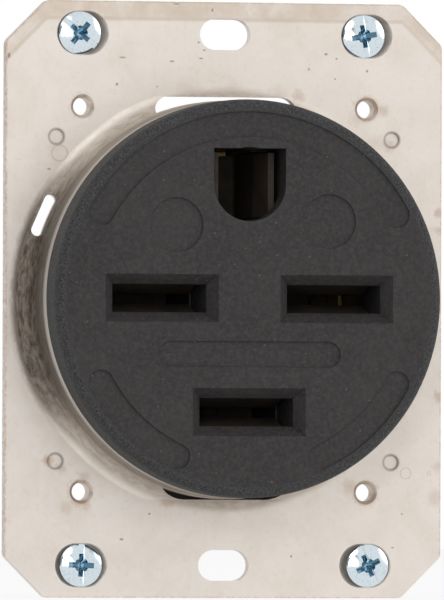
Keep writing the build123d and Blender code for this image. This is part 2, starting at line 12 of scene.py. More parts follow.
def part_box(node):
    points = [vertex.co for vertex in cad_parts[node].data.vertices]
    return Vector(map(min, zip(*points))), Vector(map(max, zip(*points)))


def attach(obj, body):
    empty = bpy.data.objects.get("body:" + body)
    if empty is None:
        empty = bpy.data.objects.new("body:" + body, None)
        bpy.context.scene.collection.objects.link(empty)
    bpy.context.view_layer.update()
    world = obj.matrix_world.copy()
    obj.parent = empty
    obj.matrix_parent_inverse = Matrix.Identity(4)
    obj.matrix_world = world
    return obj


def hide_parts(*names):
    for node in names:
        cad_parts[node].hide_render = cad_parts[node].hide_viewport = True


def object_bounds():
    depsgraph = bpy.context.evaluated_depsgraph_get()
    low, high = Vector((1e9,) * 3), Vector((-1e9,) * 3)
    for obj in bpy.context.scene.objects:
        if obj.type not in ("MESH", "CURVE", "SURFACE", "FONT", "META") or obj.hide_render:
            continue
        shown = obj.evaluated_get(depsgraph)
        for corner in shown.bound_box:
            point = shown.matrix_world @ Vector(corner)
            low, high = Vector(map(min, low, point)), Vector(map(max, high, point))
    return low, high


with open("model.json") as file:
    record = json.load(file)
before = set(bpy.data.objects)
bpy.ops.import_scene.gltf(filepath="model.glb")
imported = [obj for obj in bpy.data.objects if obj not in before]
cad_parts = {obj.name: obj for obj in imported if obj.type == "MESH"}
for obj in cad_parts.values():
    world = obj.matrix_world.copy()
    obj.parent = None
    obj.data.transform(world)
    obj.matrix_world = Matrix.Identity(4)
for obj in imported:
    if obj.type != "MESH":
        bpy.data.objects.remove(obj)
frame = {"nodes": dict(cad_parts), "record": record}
nodes = frame["nodes"]
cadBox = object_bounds()
mm = 0.001
collarTop = -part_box("strap")[0].y / mm
print("frame loaded with", len(nodes), "nodes")


# Camera: the picture is 444 by 600, and its long side is the sensor's
picture = {
    "width": 444,
    "height": 600,
    "pixelsPerMm": 6.37,  # at the strap's front
    "strapCentre": (224.3, 300.0),  # in pixels
    "azimuth": -14.5,  # degrees, negative to the left
    "elevation": -0.9,
    "roll": 0.2,  # degrees
    "distance": 2000.0,
    "sensor": 36.0,
    "strapFront": 2.0,
}


def placeCamera():
    turn, lift = math.radians(picture["azimuth"]), math.radians(picture["elevation"])
    back = Vector((math.sin(turn) * math.cos(lift), -math.cos(turn) * math.cos(lift), math.sin(lift)))
    look = (-back).to_track_quat("-Z", "Y")
    offsetX = (picture["strapCentre"][0] - picture["width"] / 2) / picture["pixelsPerMm"]
    offsetZ = (picture["strapCentre"][1] - picture["height"] / 2) / picture["pixelsPerMm"]
    aim = Vector((0, -picture["strapFront"], 0)) + look @ Vector((-offsetX, offsetZ, 0))
    data = bpy.data.cameras.new("photoCamera")
    data.sensor_width = picture["sensor"]
    data.lens = data.sensor_width * picture["pixelsPerMm"] * picture["distance"] / picture["height"]
    data.clip_start, data.clip_end = 0.05, 20
    camera = bpy.data.objects.new("photoCamera", data)
    bpy.context.scene.collection.objects.link(camera)
    camera.location = (aim + back * picture["distance"]) * mm
    camera.rotation_mode = "QUATERNION"
    camera.rotation_quaternion = look @ Matrix.Rotation(math.radians(picture["roll"]), 3, "Z").to_quaternion()
    bpy.context.scene.camera = camera


placeCamera()
print("camera placed")


# Light: a white room, dark round the camera and on its left, and three soft lamps
room = {
    "background": 1.0,  # what the camera sees
    "gloss": 0.95,  # what metal and plastic mirror
    "ambient": 0.60,  # what lights matt surfaces
    "shadeGloss": 0.05,  # the dark places, as metal mirrors them
    # the dark stand at the camera: degrees round it, then shares of the view
    "stand": {"turn": -23.0, "rise": -0.05, "width": 0.30, "height": 0.60, "blur": 0.2},
    "leftFrom": 0.52,  # how far to the left the dark side starts and is whole
    "leftWhole": 0.80,
    "leftRise": 0.42,  # half its height
    "leftBlur": 0.3,
}
lamps = {
    "keyLamp": {"place": (-500, -1200, 700), "size": 700, "watts": 3.7},
    "fillLamp": {"place": (1200, -600, 450), "size": 900, "watts": 3.7},
    "frontLamp": {"place": (-450, -1300, 60), "size": 700, "watts": 3.8},
}


def addNode(tree, kind, inputs=None, **settings):
    made = tree.nodes.new(kind)
    for name, value in settings.items():
        setattr(made, name, value)
    for key, value in (inputs or {}).items():
        if isinstance(value, bpy.types.NodeSocket):
            tree.links.new(value, made.inputs[key])
        else:
            made.inputs[key].default_value = value
    return made


def calc(tree, operation, *values):
    made = addNode(tree, "ShaderNodeMath", dict(enumerate(values)), operation=operation)
    return made.outputs[0]


def vectorCalc(tree, operation, *values):
    made = addNode(tree, "ShaderNodeVectorMath", dict(enumerate(values)), operation=operation)
    return made.outputs["Value" if operation in ("DOT_PRODUCT", "LENGTH") else "Vector"]


def spanOf(tree, first, second):
    # the length of a line from its two legs
    squares = [calc(tree, "MULTIPLY", leg, leg) for leg in (first, second)]
    return calc(tree, "SQRT", calc(tree, "ADD", *squares))


def ease(tree, value, start, end, low=0.0, high=1.0):
    # a smooth step from low at start to high at end
    inputs = {"Value": value, "From Min": start, "From Max": end, "To Min": low, "To Max": high}
    made = addNode(tree, "ShaderNodeMapRange", inputs, interpolation_type="SMOOTHSTEP")
    return made.outputs["Result"]


def blendColour(tree, share, first, second):
    made = addNode(tree, "ShaderNodeMix", {0: share}, data_type="RGBA")
    for index, value in ((6, first), (7, second)):
        if isinstance(value, bpy.types.NodeSocket):
            tree.links.new(value, made.inputs[index])
        else:
            made.inputs[index].default_value = (*value, 1.0)
    return made.outputs[2]


def lightRoom():
    world = bpy.data.worlds.new("whiteRoom")
    world.use_nodes = True
    tree = world.node_tree
    tree.nodes.clear()
    direction = addNode(tree, "ShaderNodeTexCoord").outputs["Generated"]
    stand = room["stand"]
    turn = math.radians(stand["turn"])
    towards = (math.sin(turn), -math.cos(turn), 0)
    beside = (math.cos(turn), math.sin(turn), 0)

    def along(axis):
        return vectorCalc(tree, "DOT_PRODUCT", direction, axis)

    up = along((0, 0, 1))
    reachX = calc(tree, "DIVIDE", along(beside), stand["width"])
    reachZ = calc(tree, "DIVIDE", calc(tree, "SUBTRACT", up, stand["rise"]), stand["height"])
    inStand = ease(tree, spanOf(tree, reachX, reachZ), 1 + stand["blur"], 1 - stand["blur"])
    atStand = calc(tree, "MULTIPLY", inStand, calc(tree, "GREATER_THAN", along(towards), 0.0))
    leftward = ease(tree, along((-1, 0, 0)), room["leftFrom"], room["leftWhole"])
    highest, lowest = room["leftRise"] * (1 + room["leftBlur"]), room["leftRise"] * (1 - room["leftBlur"])
    atLeft = calc(tree, "MULTIPLY", leftward, ease(tree, calc(tree, "ABSOLUTE", up), highest, lowest))
    shade = calc(tree, "MAXIMUM", atStand, atLeft)
    gloss = calc(tree, "MULTIPLY_ADD", shade, room["shadeGloss"] - room["gloss"], room["gloss"])
    path = addNode(tree, "ShaderNodeLightPath")
    mirrored = calc(tree, "MAXIMUM", path.outputs["Is Glossy Ray"], path.outputs["Is Transmission Ray"])
    extra = calc(tree, "SUBTRACT", gloss, room["ambient"])
    level = calc(tree, "MULTIPLY_ADD", mirrored, extra, room["ambient"])
    shown = calc(tree, "SUBTRACT", room["background"], level)
    strength = calc(tree, "MULTIPLY_ADD", path.outputs["Is Camera Ray"], shown, level)
    sky = addNode(tree, "ShaderNodeBackground", {"Color": (1, 1, 1, 1), "Strength": strength})
    addNode(tree, "ShaderNodeOutputWorld", {"Surface": sky.outputs[0]})
    bpy.context.scene.world = world
    for name, lamp in lamps.items():
        data = bpy.data.lights.new(name, "AREA")
        data.shape = "DISK"
        data.size = lamp["size"] * mm
        data.energy = lamp["watts"]
        made = bpy.data.objects.new(name, data)
        bpy.context.scene.collection.objects.link(made)
        made.location = Vector(lamp["place"]) * mm
        made.rotation_mode = "QUATERNION"
        made.rotation_quaternion = (-made.location).to_track_quat("-Z", "Y")
    bpy.context.scene.view_settings.view_transform = "Standard"


lightRoom()
print("room and lamps set")


# Finishes: every one reads Object coordinates, turned to millimetres
def newFinish(name, metallic, roughness):
    material = bpy.data.materials.new(name)
    material.use_nodes = True
    tree = material.node_tree
    tree.nodes.clear()
    shader = addNode(tree, "ShaderNodeBsdfPrincipled", {"Metallic": metallic, "Roughness": roughness})
    addNode(tree, "ShaderNodeOutputMaterial", {"Surface": shader.outputs[0]})
    place = addNode(tree, "ShaderNodeTexCoord").outputs["Object"]
    scaled = addNode(tree, "ShaderNodeVectorMath", {0: place, "Scale": 1000.0}, operation="SCALE")
    return material, tree, shader, scaled.outputs[0]


def stretch(tree, place, scale):
    return addNode(tree, "ShaderNodeMapping", {"Vector": place, "Scale": scale}).outputs[0]


def grain(tree, place, perMm, detail=3.0, roughness=0.55, warp=0.0):
    inputs = {"Vector": place, "Scale": perMm, "Detail": detail, "Roughness": roughness, "Distortion": warp}
    return addNode(tree, "ShaderNodeTexNoise", inputs).outputs["Fac"]


def addBump(tree, shader, height, distance, strength=1.0):
    # distance is in millimetres
    inputs = {"Height": height, "Distance": distance * mm, "Strength": strength}
    last = shader.inputs["Normal"].links
    if last:
        inputs["Normal"] = last[0].from_socket
    tree.links.new(addNode(tree, "ShaderNodeBump", inputs).outputs[0], shader.inputs["Normal"])


strapLook = {
    "plate": (0.775, 0.715, 0.655),
    "plateDull": (0.72, 0.65, 0.585),
    "rust": (0.38, 0.21, 0.11),
    "tan": (0.52, 0.40, 0.29),
    "speck": (0.06, 0.045, 0.04),
    "drawn": (0.60, 0.53, 0.465),  # the collar's streaked brown root: mottled, and darkened as painted shade in the concave root
    # painted shade at the collar's left, mixed with its darkest mottled tarnish
    "drawnShadeAndTarnish": (0.070, 0.050, 0.034),
    "drawnRough": 0.62,
    # the collar's wall, darker than the plate as painted shade
    "wall": (0.36, 0.325, 0.285),
    # a painted highlight along the collar's rounded shoulder
    "shoulder": (0.56, 0.51, 0.46),
    "streakPerRadian": 11.0,  # a third of its 33 mm, which draws the streaks out round the root
    "rootRadius": 33.2,
    "rootShadeWider": 1.3,  # how much further out the root's painted shade reaches at the left
    "rootEnd": 4.6,  # height where the root meets the wall
    "shoulderDrop": 2.8,  # where the shoulder begins, behind the collar's top
    "dieLineFromTop": 2.75,
    "dieLineFromCut": 1.9,
    "halfWidth": 35.3,
    "halfLength": 46.75,
    "cornerCut": 6.5,
    "stainDrift": 1.6,  # how far a stain's edge may wander, times the noise
    "tappedHole": (23.15, 30.3),  # x, z, the same in all four quarters
    "tappedRim": (2.5, 1.7),  # radii where its rusty rim fades out and is whole
    "dot": (27.2, 25.4),
    "dotRadius": 1.2,
}
# Rust and tarnish: x, z, radius, share of the stain colour
strapStains = [
    (-9.2, -31.9, 0.8, 0.40), (-8.3, -31.6, 0.5, 0.35), (-0.2, -32.0, 0.6, 0.45), (4.0, -31.9, 0.9, 0.35),
    (6.6, -31.8, 0.7, 0.28), (1.8, -32.3, 0.7, 0.3), (34.8, 14.0, 0.7, 0.45), (34.8, 11.2, 0.6, 0.35),
    (34.8, -15.0, 0.7, 0.4), (34.6, -26.0, 0.8, 0.25), (34.3, -31.0, 1.2, 0.25), (12.0, 32.2, 0.9, 0.30),
    (8.6, 32.4, 1.2, 0.18), (1.5, 32.4, 1.6, 0.16), (-6.0, 32.6, 1.6, 0.16), (-25.5, -32.6, 1.0, 0.22),
    (-22.4, -32.4, 0.7, 0.28), (-22.6, -27.9, 0.9, 0.28), (20.6, -29.3, 1.2, 0.30), (25.9, 30.0, 0.8, 0.32),
    (21.6, 28.6, 1.0, 0.20), (-28.4, -25.4, 0.7, 0.60), (-26.2, -26.5, 0.7, 0.3), (26.6, 24.4, 0.9, 0.30),
    (24.6, 24.9, 1.3, 0.16), (-27.5, 23.9, 1.2, 0.12), (28.6, 39.0, 2.4, 0.10), (-18.5, 44.9, 1.6, 0.16),
]
# Small dark specks: x, z, half length, half height
strapSpecks = [
    (-16.6, 37.9, 0.50, 0.12), (-17.5, 33.7, 0.22, 0.22), (-4.3, 40.4, 0.16, 0.16), (-3.9, 37.9, 0.30, 0.12),
    (-8.6, 37.4, 0.34, 0.13), (-3.4, 39.2, 0.2, 0.14), (16.4, 38.8, 0.26, 0.18), (18.1, 38.1, 0.17, 0.15),
    (13.6, 36.4, 0.14, 0.18), (23.1, 36.2, 0.18, 0.2), (17.9, 34.9, 0.14, 0.14), (-28.4, 20.3, 0.28, 0.12),
    (-2.1, 45.5, 0.16, 0.24), (-7.9, 46.4, 0.5, 0.1), (-11.0, 33.4, 0.12, 0.12), (-24.0, -18.0, 0.14, 0.14),
    (29.0, -33.5, 0.14, 0.14), (-12.0, -33.6, 0.2, 0.14), (-16.5, -37.6, 0.3, 0.16), (11.0, -40.2, 0.16, 0.2),
    (-31.0, -9.0, 0.14, 0.14), (27.5, -38.8, 0.2, 0.12), (32.8, 43.2, 0.34, 0.2), (-34.9, 38.0, 0.2, 0.4),
    (0.0, 32.05, 7.2, 0.13),
]
# Faint rings left by drops: x, z, radius, line width
strapRings = [(-26.7, 22.8, 1.25, 0.25), (29.6, -27.1, 0.85, 0.18), (33.4, -27.1, 0.3, 0.14)]


def strapFinish():
    material, tree, shader, place = newFinish("platedSteel", 0.75, 0.4)
    x, y, z = addNode(tree, "ShaderNodeSeparateXYZ", {0: place}).outputs
    height = calc(tree, "MULTIPLY", y, -1.0)
    radius = spanOf(tree, x, z)
    cloud = grain(tree, place, 0.13, 6.0, 0.65, 0.5)
    fine = grain(tree, place, 1.3, 5.0, 0.7)
    noise = addNode(tree, "ShaderNodeTexNoise", {"Vector": place, "Scale": 1.3, "Detail": 4.0}).outputs["Color"]
    centred = vectorCalc(tree, "SUBTRACT", noise, (0.5, 0.5, 0.5))
    drift = vectorCalc(tree, "MULTIPLY", centred, (strapLook["stainDrift"],) * 3)
    wobble = vectorCalc(tree, "ADD", place, drift)

    def gapTo(spotX, spotZ, source, scale=(1, 0, 1)):
        moved = vectorCalc(tree, "SUBTRACT", source, (spotX, 0, spotZ))
        return vectorCalc(tree, "LENGTH", vectorCalc(tree, "MULTIPLY", moved, scale))

    colour = blendColour(tree, ease(tree, cloud, 0.35, 0.7), strapLook["plate"], strapLook["plateDull"])
    colour = blendColour(tree, ease(tree, fine, 0.5, 0.8, 0.0, 0.22), colour, strapLook["tan"])
    # a mottled tan band along the top edge and the cut corners out to the die's faint line, and the line itself
    # a little tan
    fromTop = calc(tree, "SUBTRACT", strapLook["halfLength"], z)
    reach = strapLook["halfWidth"] + strapLook["halfLength"] - strapLook["cornerCut"]
    across = calc(tree, "ADD", calc(tree, "ABSOLUTE", x), z)
    fromCut = calc(tree, "MULTIPLY", calc(tree, "SUBTRACT", reach, across), math.sqrt(0.5))
    inTop = calc(tree, "SUBTRACT", fromTop, strapLook["dieLineFromTop"])
    inCut = calc(tree, "SUBTRACT", fromCut, strapLook["dieLineFromCut"])
    dieGap = calc(tree, "MINIMUM", inTop, inCut)
    line = ease(tree, calc(tree, "ABSOLUTE", dieGap), 0.5, 0.1)
    shoulder = ease(tree, dieGap, 0.5, -0.9)
    tanBand = calc(tree, "MULTIPLY", shoulder, ease(tree, cloud, 0.3, 0.7, 0.12, 0.5))
    colour = blendColour(tree, tanBand, colour, strapLook["tan"])
    colour = blendColour(tree, calc(tree, "MULTIPLY", line, 0.35), colour, strapLook["tan"])
    # rust on the bare steel of the blanked edges
    fromSide = calc(tree, "SUBTRACT", strapLook["halfWidth"], calc(tree, "ABSOLUTE", x))
    fromEnd = calc(tree, "SUBTRACT", strapLook["halfLength"], calc(tree, "ABSOLUTE", z))
    edge = ease(tree, calc(tree, "MINIMUM", calc(tree, "MINIMUM", fromSide, fromEnd), fromCut), 0.30, 0.02)
    rusted = calc(tree, "MULTIPLY", edge, ease(tree, fine, 0.40, 0.62, 0.12, 0.50))
    colour = blendColour(tree, rusted, colour, strapLook["rust"])
    # stains, rings and specks
    for spotX, spotZ, size, share in strapStains:
        mask = ease(tree, gapTo(spotX, spotZ, wobble), size * 1.7, size * 0.2, 0.0, share)
        colour = blendColour(tree, mask, colour, strapLook["rust"])
    for spotX, spotZ, size, width in strapRings:
        off = calc(tree, "ABSOLUTE", calc(tree, "SUBTRACT", gapTo(spotX, spotZ, place), size))
        colour = blendColour(tree, ease(tree, off, width, 0.0, 0.0, 0.5), colour, strapLook["tan"])
    for spotX, spotZ, halfX, halfZ in strapSpecks:
        gap = gapTo(spotX, spotZ, place, (1 / halfX, 0, 1 / halfZ))
        colour = blendColour(tree, ease(tree, gap, 1.5, 0.6, 0.0, 0.55), colour, strapLook["speck"])
    # rims of the tapped holes and the dots
    holeGap = gapTo(*strapLook["tappedHole"], vectorCalc(tree, "ABSOLUTE", wobble))
    rim = ease(tree, holeGap, *strapLook["tappedRim"], 0.0, 0.30)
    rusted = calc(tree, "MULTIPLY", rim, ease(tree, cloud, 0.35, 0.6, 0.4, 1.0))
    colour = blendColour(tree, rusted, colour, strapLook["rust"])
    dotGap = gapTo(*strapLook["dot"], vectorCalc(tree, "ABSOLUTE", place))
    off = calc(tree, "ABSOLUTE", calc(tree, "SUBTRACT", dotGap, strapLook["dotRadius"]))
    colour = blendColour(tree, ease(tree, off, 0.35, 0.05, 0.0, 0.45), colour, strapLook["speck"])
    # the drawn collar: a streaked brown root darkened as painted shade, a wall darkened as painted shade, a
    # shoulder paled as a painted highlight, and painted shade over all of it at the left
    leftward = calc(tree, "MULTIPLY", x, -1.0)
    around = calc(tree, "MULTIPLY", calc(tree, "ARCTAN2", z, leftward), strapLook["streakPerRadian"])
    streaked = addNode(tree, "ShaderNodeCombineXYZ", {0: radius, 1: y, 2: around}).outputs[0]
    mottle = grain(tree, streaked, 1.5, 6.0, 0.75)
    # painted shade: the collar grows darker towards its left side
    paintedLeftShade = ease(tree, calc(tree, "DIVIDE", leftward, calc(tree, "MAXIMUM", radius, 1.0)), 0.68, 0.97)
    spread = calc(tree, "MULTIPLY_ADD", mottle, 1.6, radius)
    rootEdge = calc(tree, "MULTIPLY_ADD", paintedLeftShade, strapLook["rootShadeWider"], strapLook["rootRadius"])
    drawnShare = ease(tree, calc(tree, "SUBTRACT", spread, rootEdge), 1.4, -0.1)
    drawnShare = calc(tree, "MULTIPLY", drawnShare, ease(tree, height, 1.5, 1.9))
    # painted shade at the left, plus mottled tarnish
    tarnishAndLeftShade = calc(tree, "MULTIPLY_ADD", paintedLeftShade, 0.70, ease(tree, mottle, 0.36, 0.66, 0.0, 0.30))
    root = blendColour(tree, tarnishAndLeftShade, strapLook["drawn"], strapLook["drawnShadeAndTarnish"])
    wall = blendColour(tree, calc(tree, "MULTIPLY", tarnishAndLeftShade, 0.8), strapLook["wall"], strapLook["drawnShadeAndTarnish"])
    rootEnd, shoulderStart = strapLook["rootEnd"], collarTop - strapLook["shoulderDrop"]
    drawn = blendColour(tree, ease(tree, height, rootEnd - 0.8, rootEnd + 0.8), root, wall)
    # the shoulder's paler colour is a painted highlight
    inShoulder = ease(tree, height, shoulderStart, shoulderStart + 1.4)
    drawn = blendColour(tree, inShoulder, drawn, strapLook["shoulder"])
    colour = blendColour(tree, drawnShare, colour, drawn)
    tree.links.new(colour, shader.inputs["Base Color"])
    polish = ease(tree, fine, 0.2, 0.8, 0.34, 0.50)
    worn = calc(tree, "MULTIPLY", drawnShare, calc(tree, "SUBTRACT", strapLook["drawnRough"], polish))
    tree.links.new(calc(tree, "ADD", polish, worn), shader.inputs["Roughness"])
    addBump(tree, shader, fine, 0.02, 0.4)
    addBump(tree, shader, calc(tree, "MULTIPLY", mottle, drawnShare), 0.05, 0.5)
    addBump(tree, shader, shoulder, 0.10, 0.8)
    return material


faceLook = {
    "body": (0.0145, 0.0132, 0.0130),
    "pale": (0.040, 0.037, 0.036),
    "rim": (0.082, 0.082, 0.082),
    "rimDark": (0.020, 0.020, 0.020),
    "rimRadius": 29.3,
    "rimHeight": collarTop + 0.4,  # just in front of the collar
    "dust": 0.28,  # the share of pale dust on the face
    "crumb": (0.20, 0.19, 0.18),
    "specular": 0.38,
}


def mouldingFinish(name, body, pale, roughness, rim=None):
    material, tree, shader, place = newFinish(name, 0.0, roughness)
    shader.inputs["Specular IOR Level"].default_value = faceLook["specular"]
    speckle = grain(tree, place, 1.5, 6.0, 0.85)
    cloud = grain(tree, place, 0.10, 4.0, 0.6)
    colour = blendColour(tree, ease(tree, speckle, 0.40, 0.66), body, pale)
    colour = blendColour(tree, ease(tree, cloud, 0.35, 0.7, 0.0, faceLook["dust"]), colour, pale)
    crumbs = addNode(tree, "ShaderNodeTexVoronoi", {"Vector": place, "Scale": 0.45}).outputs["Distance"]
    colour = blendColour(tree, ease(tree, crumbs, 0.075, 0.04, 0.0, 0.35), colour, faceLook["crumb"])
    addBump(tree, shader, grain(tree, place, 3.0, 4.0, 0.7), 0.06, 0.6)
    if rim:
        x, y, z = addNode(tree, "ShaderNodeSeparateXYZ", {0: place}).outputs
        outside = ease(tree, spanOf(tree, x, z), rim["rimRadius"], rim["rimRadius"] + 0.5)
        edge = calc(tree, "MULTIPLY", outside, ease(tree, y, -rim["rimHeight"], -rim["rimHeight"] - 0.4))
        sparkle = grain(tree, place, 3.2, 3.0, 0.9)
        worn = blendColour(tree, ease(tree, sparkle, 0.40, 0.66), rim["rimDark"], rim["rim"])
        colour = blendColour(tree, edge, colour, worn)
        grit = calc(tree, "MULTIPLY", calc(tree, "SUBTRACT", sparkle, 0.5), edge)
        addBump(tree, shader, grit, 0.35, 0.9)
    tree.links.new(colour, shader.inputs["Base Color"])
    return material


def rolledMetal(name, colour, dull, roughness, lines=(1.0, 1.0, 0.15), linesPerMm=4.0, metallic=1.0):
    # sheet or bar with faint rolling lines and patches of tarnish
    material, tree, shader, place = newFinish(name, metallic, roughness)
    streak = grain(tree, stretch(tree, place, lines), linesPerMm, 3.0, 0.6)
    patch = grain(tree, place, 0.25, 5.0, 0.6, 0.4)
    tint = blendColour(tree, ease(tree, patch, 0.38, 0.72), colour, dull)
    tree.links.new(tint, shader.inputs["Base Color"])
    rough = ease(tree, streak, 0.2, 0.8, roughness - 0.08, roughness + 0.12)
    tree.links.new(rough, shader.inputs["Roughness"])
    addBump(tree, shader, streak, 0.02, 0.4)
    return material


def zincFinish(name, colour, shade, roughness, recessShade=None):
    # bright zinc: clean, slightly blue, with a few tumbling marks, and a painted shade that darkens the cross
    # recess
    material, tree, shader, place = newFinish(name, 1.0, roughness)
    marks = grain(tree, place, 2.2, 5.0, 0.7, 0.3)
    tint = blendColour(tree, ease(tree, marks, 0.5, 0.75, 0.0, 0.8), colour, shade)
    if recessShade:
        # painted shade: the recess faces take the darker zinc
        inRecessShade = addNode(tree, "ShaderNodeAttribute", attribute_name="recessShade").outputs["Fac"]
        tint = blendColour(tree, inRecessShade, tint, recessShade)
    tree.links.new(tint, shader.inputs["Base Color"])
    rough = ease(tree, marks, 0.3, 0.75, roughness * 0.6, roughness * 1.9)
    tree.links.new(rough, shader.inputs["Roughness"])
    addBump(tree, shader, marks, 0.02, 0.3)
    return material


def fibreFinish():
    material, tree, shader, place = newFinish("greyFibre", 0.0, 0.75)
    felt = grain(tree, stretch(tree, place, (1.0, 4.0, 1.0)), 2.4, 5.0, 0.7)
    tint = blendColour(tree, ease(tree, felt, 0.3, 0.7), (0.50, 0.49, 0.47), (0.36, 0.35, 0.33))
    tree.links.new(tint, shader.inputs["Base Color"])
    addBump(tree, shader, felt, 0.06, 0.5)
    return material


# Metals: clean colour and tarnish, except the brass that is painted dark as the shade in the slots
metals = {
    "paintedShadeBrass": ((0.055, 0.041, 0.029), (0.032, 0.026, 0.021)),  # brass painted as dark as the shade in the blade slots makes it
    "stripBrass": ((0.76, 0.56, 0.27), (0.50, 0.33, 0.13)),
    "lugBrass": ((0.70, 0.50, 0.24), (0.44, 0.30, 0.14)),
    "screwBrass": ((0.76, 0.58, 0.30), (0.52, 0.36, 0.16)),
    "spring": ((0.36, 0.37, 0.40), (0.20, 0.19, 0.20)),
    "plate": ((0.62, 0.63, 0.65), (0.42, 0.42, 0.43)),
    "greenDye": ((0.05, 0.26, 0.12), (0.02, 0.12, 0.06)),
    "dullZinc": ((0.72, 0.74, 0.77), (0.45, 0.46, 0.48)),
    "brightZinc": ((0.68, 0.76, 0.81), (0.44, 0.52, 0.58)),
}
even = (1.0, 1.0, 1.0)  # no direction to the lines
# a darker zinc painted into the cross recess as its shade
recessShadeZinc = (0.32, 0.45, 0.53)
finishes = {
    "plated_strap": strapFinish(),
    "face_moulding": mouldingFinish("charcoalMoulding", faceLook["body"], faceLook["pale"], 0.62, faceLook),
    "housing_moulding": mouldingFinish("blackMoulding", (0.013, 0.013, 0.013), (0.026, 0.026, 0.026), 0.55),
    # painted shade: the contacts get the dark brass because they sit in the shade of the slots
    "contact_brass": rolledMetal("contactBrassPaintedShade", *metals["paintedShadeBrass"], 0.65, metallic=0.4),
    "terminal_brass": rolledMetal("terminalBrass", *metals["stripBrass"], 0.33),
    "lug_brass": rolledMetal("lugBrass", *metals["lugBrass"], 0.36, (1.0, 0.2, 1.0), 2.5),
    # painted shade: the rivet gets the same dark brass because it sits in the shade of a slot
    "brass_rivet": rolledMetal("rivetBrassPaintedShade", *metals["paintedShadeBrass"], 0.65, even, 1.5, 0.4),
    "spring_steel": rolledMetal("springSteel", *metals["spring"], 0.30),
    "plate_steel": rolledMetal("plateSteel", *metals["plate"], 0.34),
    "terminal_screw": rolledMetal("screwBrass", *metals["screwBrass"], 0.30, even, 2.0),
    "green_screw": zincFinish("greenDye", *metals["greenDye"], 0.25),
    "assembly_screw": zincFinish("assemblyZinc", *metals["dullZinc"], 0.25),
    "zinc_screw": zincFinish("brightZinc", *metals["brightZinc"], 0.09, recessShadeZinc),
    "fibre_washer": fibreFinish(),
}
for part in frame["record"]["subparts"]:
    for slot in nodes[part["node"]].material_slots:
        slot.material = finishes[part["material_slot"]]


# Box screws: oval head with a combined recess and slot, neck and rolled thread
boxScrew = {
    "solidDome": 1.15,  # the plain solid's crown, above its rim
    "domeHeight": 0.66,  # the real, flatter crown
    "coneSlope": 40.0,  # degrees from the axis
    "rimRound": 0.12,
    "coneFoot": 0.1,
    "neckRadius": 1.55,
    "neckEnd": -1.95,
    "neckOverlap": 0.1,  # how far the neck runs into the thread
    "crestRadius": 1.72,
    "rootRadius": 1.36,
    "pitch": 0.794,
    "tipLength": 1.1,
    "slotWidth": 0.95,
    "slotDepth": 0.62,
    "wingReach": 1.98,
    "wingHalf": 0.42,
    "coreReach": 0.98,
    "coreCorner": 0.80,
    # height from the crown, share of the wings, share of the core
    "recessStages": ((0.4, 1.16, 1.12), (-0.45, 0.98, 0.96), (-1.3, 0.62, 0.62), (-2.1, 0.34, 0.30)),
    "recessTip": 0.25,
    "ringSteps": 64,
    "domeSteps": 10,
    "sharpFrom": 35.0,  # degrees
}
screwTurns = {"upper_left": -40.0, "upper_right": -80.0, "lower_left": 88.0, "lower_right": -65.0}


def addInput(tree, name, kind, value):
    socket = tree.interface.new_socket(name=name, in_out="INPUT", socket_type="NodeSocket" + kind)
    if value is not None:
        socket.default_value = value
    return socket.identifier


